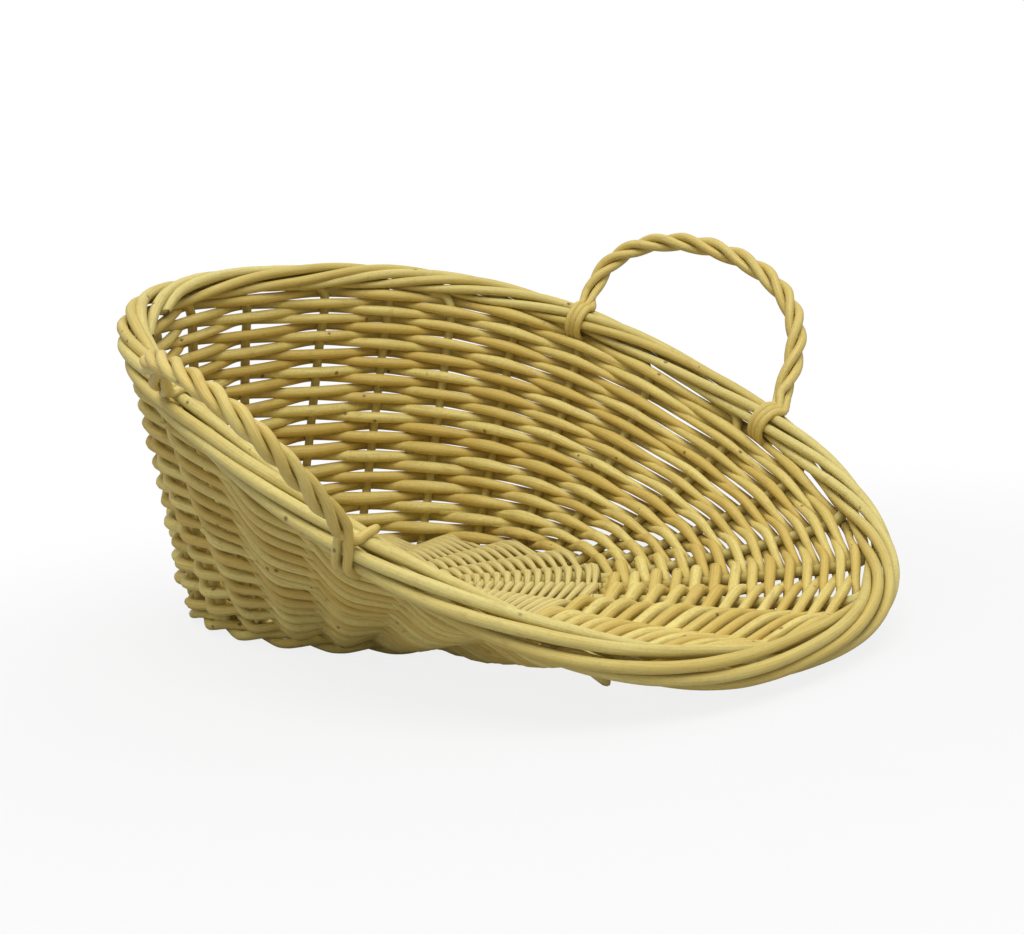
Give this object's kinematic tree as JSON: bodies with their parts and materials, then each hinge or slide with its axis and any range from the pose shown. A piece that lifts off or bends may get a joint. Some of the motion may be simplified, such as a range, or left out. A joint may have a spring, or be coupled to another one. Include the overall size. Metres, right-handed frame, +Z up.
{
  "type": "trug garden basket",
  "caption": "Scoop-shaped garden trug in peeled willow: oval woven base, high curved back, low front lip, rolled border and roped side handles.",
  "frame": {"origin": "on the floor, at the middle of the front edge of the foot, the heavy round under the oval base", "axes": "+Z up, +Y toward the high back, so the low front lip points to -Y, +X toward the far handle of the picture"},
  "size_m": [0.4259, 0.4481, 0.2005],
  "materials": {
    "weavers": "peeled willow rod, matt with a slight sheen",
    "stakes": "peeled willow rod, matt with a slight sheen",
    "base": "peeled willow rod, matt",
    "handles": "peeled willow rod, matt with a slight sheen"
  },
  "bodies": {
    "root": {"base_sticks_long": "base", "base_sticks_short": "base", "base_weave": "base", "foot_round": "base", "siding_row_01": "weavers", "siding_row_02": "weavers", "siding_row_03": "weavers", "siding_row_04": "weavers", "siding_row_05": "weavers", "siding_row_06": "weavers", "siding_row_07": "weavers", "siding_row_08": "weavers", "siding_row_09": "weavers", "siding_row_10": "weavers", "siding_row_11": "weavers", "siding_row_12": "weavers", "siding_row_13": "weavers", "siding_row_14": "weavers", "siding_row_15": "weavers", "siding_row_16": "weavers", "siding_row_17": "weavers", "siding_row_18": "weavers", "siding_row_19": "weavers", "siding_row_20": "weavers", "siding_row_21": "weavers", "siding_row_22": "weavers", "siding_row_23": "weavers", "siding_row_24": "weavers", "siding_row_25": "weavers", "siding_row_26": "weavers", "top_round": "weavers", "stake_01": "stakes", "stake_02": "stakes", "stake_03": "stakes", "stake_04": "stakes", "stake_05": "stakes", "stake_06": "stakes", "stake_07": "stakes", "stake_08": "stakes", "stake_09": "stakes", "stake_10": "stakes", "stake_11": "stakes", "stake_12": "stakes", "stake_13": "stakes", "stake_14": "stakes", "stake_15": "stakes", "stake_16": "stakes", "stake_17": "stakes", "stake_18": "stakes", "stake_19": "stakes", "stake_20": "stakes", "stake_21": "stakes", "stake_22": "stakes", "stake_23": "stakes", "stake_24": "stakes", "far_handle_rod": "handles", "far_handle_roping": "handles", "near_handle_rod": "handles", "near_handle_roping": "handles"}
  },
  "joints": []
}
